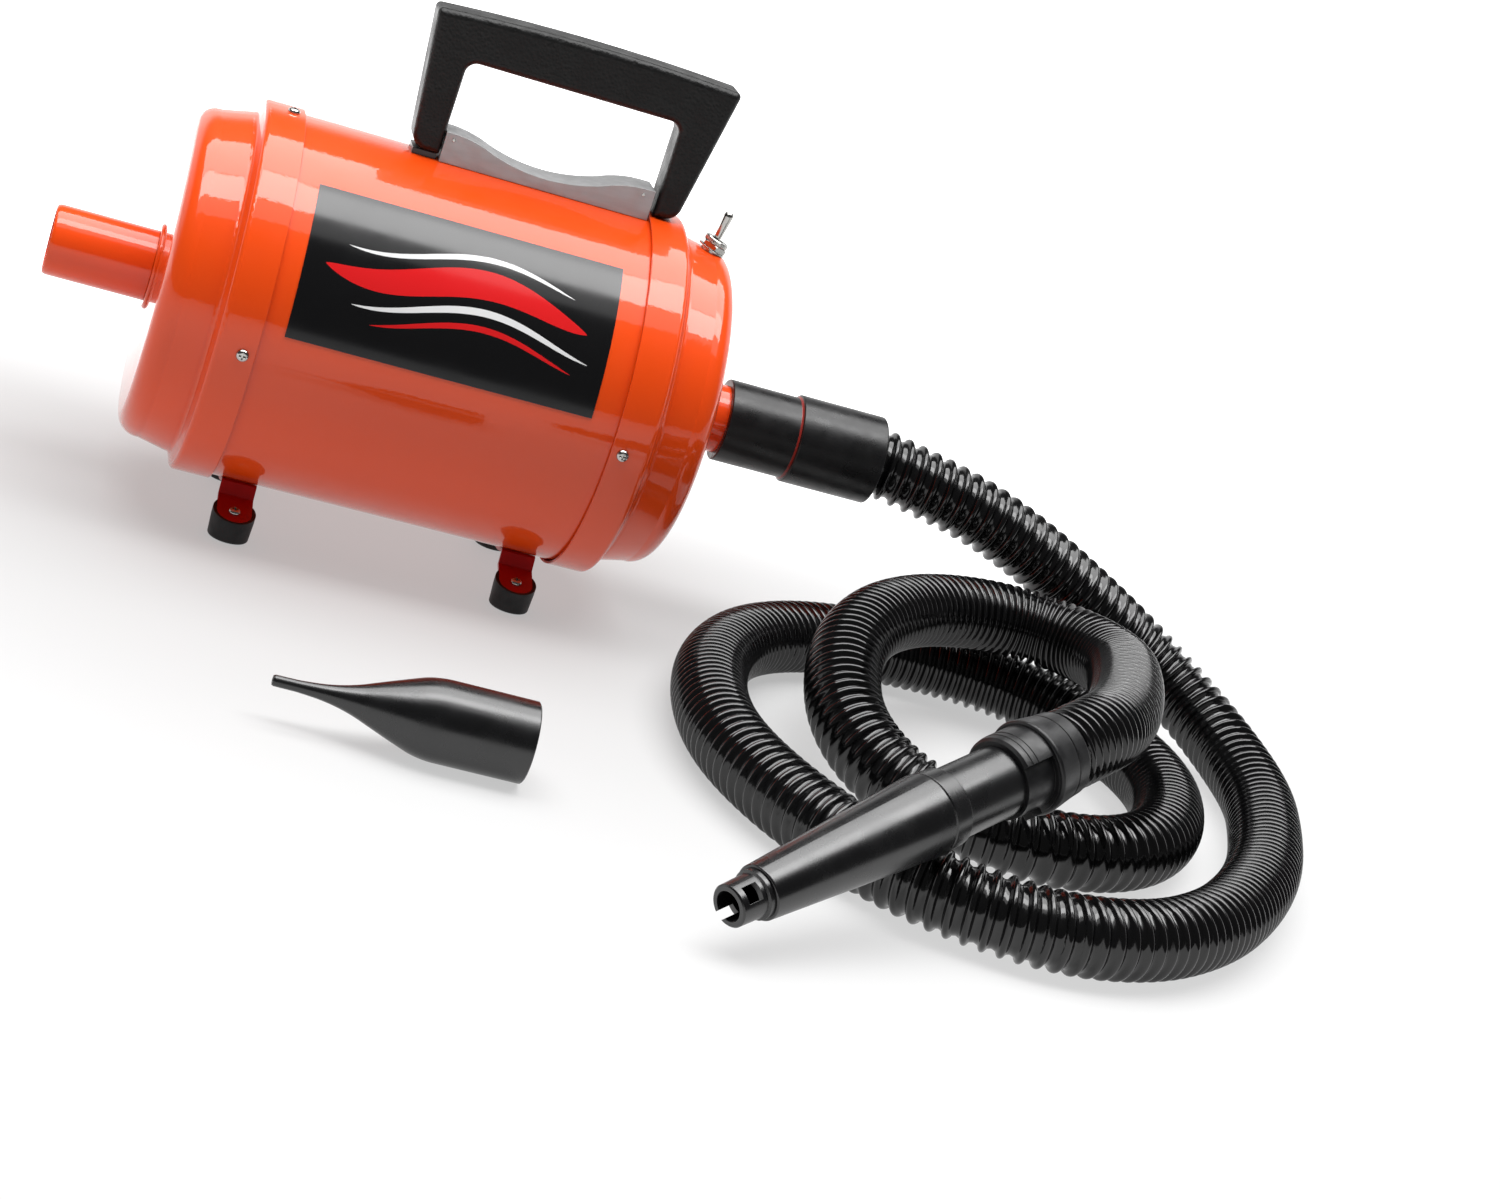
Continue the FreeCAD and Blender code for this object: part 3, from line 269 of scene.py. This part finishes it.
def cuff_with_line():
    """Cuff rubber with a thin dark red line in the corner of its step."""
    s = Shader("cuff_with_line", (0.006, 0.006, 0.0065), 0.32, Specular_IOR_Level=0.4)
    x, _, _ = s.xyz()
    line = s.math("LESS_THAN", s.math("ABSOLUTE", s.math("SUBTRACT", x, CUFF_LINE_X)), CUFF_LINE_HALF)
    rubber = s.mix(s.noise(45, 5), (0.005, 0.005, 0.0055), (0.010, 0.010, 0.0105))
    s.color(s.mix(line, rubber, (0.20, 0.020, 0.016)))
    s.rough(s.ramp(s.noise(120, 5), 0.3, 0.7, 0.26, 0.38))
    s.soft_edges(0.0003)
    s.bump(s.noise(900, 3), 0.00005, 0.8)
    return s.done()


def moulded_black(name, roughness):
    s = Shader(name, (0.002, 0.002, 0.0025), roughness, Specular_IOR_Level=0.8)
    s.color(s.mix(s.noise(20, 4), (0.0015, 0.0015, 0.002), (0.004, 0.004, 0.0045)))
    s.rough(s.ramp(s.noise(50, 4), 0.3, 0.7, roughness - 0.03, roughness + 0.05))
    s.soft_edges(0.0004)
    s.bump(s.noise(1300, 3), 0.00002, 0.4)
    return s.done()


def hose_vinyl():
    s = Shader("hose_vinyl", (0.002, 0.002, 0.0025), 0.12, Specular_IOR_Level=0.6)
    s.rough(s.ramp(s.noise(110, 5), 0.3, 0.75, 0.08, 0.20))
    s.color(s.mix(s.noise(30, 4), (0.0015, 0.0015, 0.002), (0.004, 0.004, 0.004)))
    s.bump(s.noise(500, 3), 0.00004, 0.3)
    return s.done()


LABEL_R, LABEL_MIDDLE_DEG = 0.104, 29.2
WAVE_HEIGHT, WAVE_RATE, WAVE_START = 0.0070, 44.0, 0.9
LINE_TAPER = 0.7
PALE, RED = (0.74, 0.74, 0.74), (0.64, 0.012, 0.014)
AIR_LINES = (       # height on the label, width, colour, start and end along x
    (0.0190, 0.0034, PALE, -0.066, 0.060),
    (0.0040, 0.0170, RED, -0.076, 0.070),
    (-0.0115, 0.0040, PALE, -0.058, 0.074),
    (-0.0205, 0.0034, RED, -0.046, 0.066))


def label_film():
    """Black panel with plain flowing air lines."""
    s = Shader("label_film", (0.006, 0.006, 0.0065), 0.24, Specular_IOR_Level=0.5)
    x, y, z = s.xyz()
    angle = s.math("ARCTAN2", s.math("SUBTRACT", z, AXIS_Z), s.math("MULTIPLY", y, -1.0))
    v = s.math("MULTIPLY", s.math("SUBTRACT", angle, radians(LABEL_MIDDLE_DEG)), LABEL_R)
    wave = s.math("MULTIPLY", s.math("SINE", s.math("MULTIPLY_ADD", x, WAVE_RATE, WAVE_START)), WAVE_HEIGHT)
    color = (0.005, 0.005, 0.0055)
    for offset, width, tint, start, end in AIR_LINES:
        gap = s.math("ABSOLUTE", s.math("SUBTRACT", s.math("SUBTRACT", v, offset), wave))
        middle, reach = (start + end) / 2, (end - start) / 2
        along = s.math("DIVIDE", s.math("SUBTRACT", x, middle), reach)
        room = s.math("MAXIMUM", s.math("SUBTRACT", 1.0, s.math("MULTIPLY", along, along)), 0.0)
        half_width = s.math("MULTIPLY", s.math("POWER", room, LINE_TAPER), width / 2)
        color = s.mix(s.math("LESS_THAN", gap, half_width), color, tint)
    s.color(color)
    s.rough(s.ramp(s.noise(40, 3), 0.3, 0.7, 0.13, 0.17))
    s.bump(s.noise(60, 3), 0.0001, 0.12)
    return s.done()


def foam():
    s = Shader("foam", (0.02, 0.02, 0.022), 0.95)
    s.bump(s.cells(900), 0.0008, 1.0)
    s.color(s.mix(s.cells(900), (0.008, 0.008, 0.009), (0.045, 0.045, 0.05)))
    return s.done()


MATERIALS = {
    "orange_paint": orange_enamel(),
    "red_paint": red_enamel(),
    "bright_screw": bright_metal(),
    "label_film": label_film(),
    "grip_plastic": grip_plastic(),
    "grey_sheet": grey_sheet(),
    "foot_rubber": black_rubber("foot_rubber", 0.55, 0.0001),
    "black_plastic": moulded_black("black_plastic", 0.26),
    "cuff_rubber": black_rubber("cuff_rubber", 0.36),
    "hose_plastic": hose_vinyl(),
    "zinc_steel": bright_metal("zinc_steel", (0.60, 0.60, 0.58), 0.3),
    "bright_aluminium": bright_metal("bright_aluminium", (0.75, 0.75, 0.76), 0.3),
    "copper_wire": bright_metal("copper_wire", (0.70, 0.30, 0.14), 0.3),
    "lamination_steel": bright_metal("lamination_steel", (0.25, 0.25, 0.27), 0.45),
    "carbon": black_rubber("carbon", 0.6),
    "liner_foam": foam(),
    "brass": bright_metal("brass", (0.75, 0.55, 0.22), 0.25),
}


def dress_cad_nodes():
    slots = {entry["node"]: entry["material_slot"] for entry in frame["record"]["subparts"]}
    for name, obj in NODES.items():
        obj.data.materials.clear()
        own = cuff_with_line() if name == "outlet_cuff" else MATERIALS[slots[name]]
        obj.data.materials.append(own)


dress_cad_nodes()


# ---------------------------------------------------------------- hose
ROUTE_MM = (
    (275, 0, 126), (311, -5, 121.2), (350.2, -8, 112.9), (390.1, -8, 97.9), (431.3, -6, 78),
    (473.2, -4, 56), (505.6, -26.7, 38.5), (525.5, -65.1, 26), (528, -126, 21.5), (512, -185, 21.5),
    (492, -240, 21.5), (464, -291, 21.5), (428, -339, 21.5), (381, -377, 21.5), (325, -393, 21.5),
    (269, -378, 21.5), (225, -341, 21.5), (194, -292, 21.5), (176, -236, 21.5), (176, -176, 21.5),
    (190, -116, 21.5), (219, -66, 21.5), (266, -32, 21.5), (316, -22, 21.5), (367, -24, 21.5),
    (412, -44, 21.5), (445, -89, 21.5), (458, -146, 21.5), (446, -202, 21.5), (419, -249, 21.5),
    (376, -279, 21.5), (321, -284, 21.5), (271, -259, 24.5), (243, -218, 37.5), (245, -166, 54),
    (266, -120, 64.5), (303, -76, 66), (345, -53, 66.5), (384, -49.5, 66.6), (414, -71, 69.2),
    (423.5, -111, 74), (411, -156, 79.5), (396.7, -196.9, 84.2), (381.5, -235.5, 88.7),
    (363.9, -271.8, 92.9), (341.4, -307.6, 96.8), (318.2, -324.8, 88.5))


def hose_centreline():
    """Points of the route's own NURBS spline."""
    curve = bpy.data.curves.new("hose_line", "CURVE")
    curve.dimensions = "3D"
    spline = curve.splines.new("NURBS")
    spline.points.add(len(ROUTE_MM) - 1)
    for point, (x, y, z) in zip(spline.points, ROUTE_MM):
        point.co = (x * MM, y * MM, z * MM, 1)
    spline.order_u = 3
    spline.use_endpoint_u = True
    spline.resolution_u = 40
    holder = bpy.data.objects.new("hose_line", curve)
    bpy.context.scene.collection.objects.link(holder)
    bpy.context.view_layer.update()
    mesh = bpy.data.meshes.new_from_object(holder)
    points = [v.co.copy() for v in mesh.vertices]
    bpy.data.objects.remove(holder)
    return points


def even_samples(points, step):
    """Points every step along the line, with the arc length at each."""
    samples, travelled, target = [(points[0].copy(), 0.0)], 0.0, step
    for a, b in zip(points, points[1:]):
        span = (b - a).length
        while travelled + span >= target:
            samples.append((a.lerp(b, (target - travelled) / span), target))
            target += step
        travelled += span
    samples.append((points[-1].copy(), travelled))
    return samples


PITCH_MM = (        # metres along the hose, and the pitch there
    (0, 9.2), (0.25, 8.6), (0.42, 6.9), (0.55, 6.2), (0.65, 7.4), (0.74, 9.0), (0.85, 7.6),
    (0.95, 6.8), (1.05, 5.7), (1.20, 5.8), (1.30, 7.4), (1.42, 6.4), (1.50, 5.7), (1.57, 7.6),
    (1.64, 10.0), (1.70, 8.0), (1.78, 6.0), (1.90, 5.6), (2.10, 5.2), (2.50, 5.0))
RING_STEP, AROUND = 0.0006, 44
RIB_HEIGHT, RIB_HALF, RIB_SHARE, RIB_ROUND = 0.0026, 0.0021, 0.32, 0.6
SLACK_PITCH, STRETCH_SPAN = 0.0055, 0.0035
VALLEY_R, VALLEY_SHRINK = 0.0187, 0.0006
WEB_SAG, WEB_SAG_MORE = 0.0003, 0.0005


def rib_pitch(s):
    """How far apart the hose's ribs stand: stretched near the body, closed up where it is slack."""
    for (s0, p0), (s1, p1) in zip(PITCH_MM, PITCH_MM[1:]):
        if s < s1:
            return (p0 + (p1 - p0) * (s - s0) / (s1 - s0)) * MM
    return PITCH_MM[-1][1] * MM


def ribbed_hose():
    """A helical bead wound on a tube along the route."""
    line = hose_centreline()
    samples = even_samples(line, RING_STEP)
    verts, phase, previous = [], 0.0, 0.0
    tangent = (samples[1][0] - samples[0][0]).normalized()
    side = tangent.cross(Vector((0, 0, 1))).normalized()
    for i, (at, s) in enumerate(samples):
        ahead = samples[min(i + 2, len(samples) - 1)][0] - samples[max(i - 2, 0)][0]
        tangent = ahead.normalized()
        side = (side - tangent * side.dot(tangent)).normalized()
        other = tangent.cross(side)
        pitch = rib_pitch(s)
        stretch = min(1.0, max(0.0, (pitch - SLACK_PITCH) / STRETCH_SPAN))
        low, web = VALLEY_R - VALLEY_SHRINK * stretch, WEB_SAG + WEB_SAG_MORE * stretch
        half = min(RIB_HALF, RIB_SHARE * pitch)
        phase += (s - previous) / pitch
        previous = s
        for j in range(AROUND):
            turn = 2 * pi * j / AROUND
            along = (phase - j / AROUND) % 1.0
            reach = min(along, 1 - along) * pitch / half
            bead = max(0.0, 1 - reach ** 2)
            radius = low + RIB_HEIGHT * bead ** RIB_ROUND - web * max(0.0, min(1.0, reach - 1))
            verts.append(at + (side * cos(turn) + other * sin(turn)) * radius)
    hose = new_object("ribbed_hose", verts, grid_faces(len(samples), AROUND), MATERIALS["hose_plastic"])
    return hose, line


hose, hose_line = ribbed_hose()
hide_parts("hose_tube")
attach(hose, "hose")


# ---------------------------------------------------------------- light and floor
def soft_box(name, place, target, size, radiance):
    data = bpy.data.lights.new(name, "AREA")
    data.shape, data.size, data.size_y = "RECTANGLE", size[0], size[1]
    data.energy = radiance * pi * size[0] * size[1]
    lamp = bpy.data.objects.new(name, data)
    lamp.location = place
    lamp.rotation_euler = (Vector(target) - Vector(place)).to_track_quat("-Z", "Y").to_euler()
    bpy.context.scene.collection.objects.link(lamp)


def studio_world():
    """White backdrop low at the back, dim room elsewhere."""
    world = bpy.data.worlds.new("studio")
    bpy.context.scene.world = world
    world.use_nodes = True
    tree = world.node_tree

    def add(kind, **settings):
        node = tree.nodes.new(kind)
        for key, value in settings.items():
            setattr(node, key, value)
        return node

    def smooth(value, low, high, out_low, out_high):
        node = add("ShaderNodeMapRange", interpolation_type="SMOOTHSTEP")
        tree.links.new(value, node.inputs[0])
        for socket, number in zip(list(node.inputs)[1:5], (low, high, out_low, out_high)):
            socket.default_value = number
        return node.outputs[0]

    split = add("ShaderNodeSeparateXYZ")
    tree.links.new(add("ShaderNodeTexCoord").outputs["Generated"], split.inputs[0])
    product = add("ShaderNodeMath", operation="MULTIPLY")
    tree.links.new(smooth(split.outputs["Y"], -0.1, 0.4, 0.0, 1.0), product.inputs[0])
    tree.links.new(smooth(split.outputs["Z"], 0.25, 0.6, 1.0, 0.0), product.inputs[1])
    strength = smooth(product.outputs[0], 0.0, 1.0, 0.07, 1.0)
    background = tree.nodes["Background"]
    background.inputs["Color"].default_value = (1, 1, 1, 1)
    tree.links.new(strength, background.inputs["Strength"])


def floor_and_light():
    s = Shader("floor", (0.22, 0.22, 0.22), 0.7, Specular_IOR_Level=0.1)
    x, y, _ = s.xyz()
    s.color(s.mix(s.noise(1.5, 3), (0.215, 0.215, 0.215), (0.225, 0.225, 0.225)))
    # Painted light: the floor glows though it is no lamp. The glow fills the shadows and grows brighter
    # towards the back.
    s.bsdf.inputs["Emission Color"].default_value = (1, 1, 1, 1)
    side = s.math("MULTIPLY", x, 0.8)
    far = s.math("SQRT", s.math("ADD", s.math("MULTIPLY", side, side), s.math("MULTIPLY", y, y)))
    # Painted contact shade: the floor's glow is dimmer close to the body.
    glow_with_painted_contact_shade = s.ramp(far, 0.12, 0.5, 0.42, 0.64)
    s.feed(s.bsdf.inputs["Emission Strength"], s.math("ADD", glow_with_painted_contact_shade, s.ramp(y, 0.1, 0.6, 0.0, 1.3)))
    size = 30
    stage = new_object("floor", [(-size, -size, 0), (size, -size, 0), (size, size, 0), (-size, size, 0)],
                       [(0, 1, 2, 3)], s.done(), smooth=False)
    stage.location.z = -0.0002
    studio_world()
    soft_box("top", (0.1, -0.38, 2.3), (0.1, -0.38, 0), (3.2, 0.75), 9.0)
    soft_box("top_back", (0.1, 0.66, 2.3), (0.1, 0.66, 0), (3.2, 1.3), 5.0)
    soft_box("top_front", (0.1, -1.08, 2.3), (0.1, -1.08, 0), (3.2, 0.6), 1.2)
    bpy.context.scene.view_settings.view_transform = "Standard"


floor_and_light()
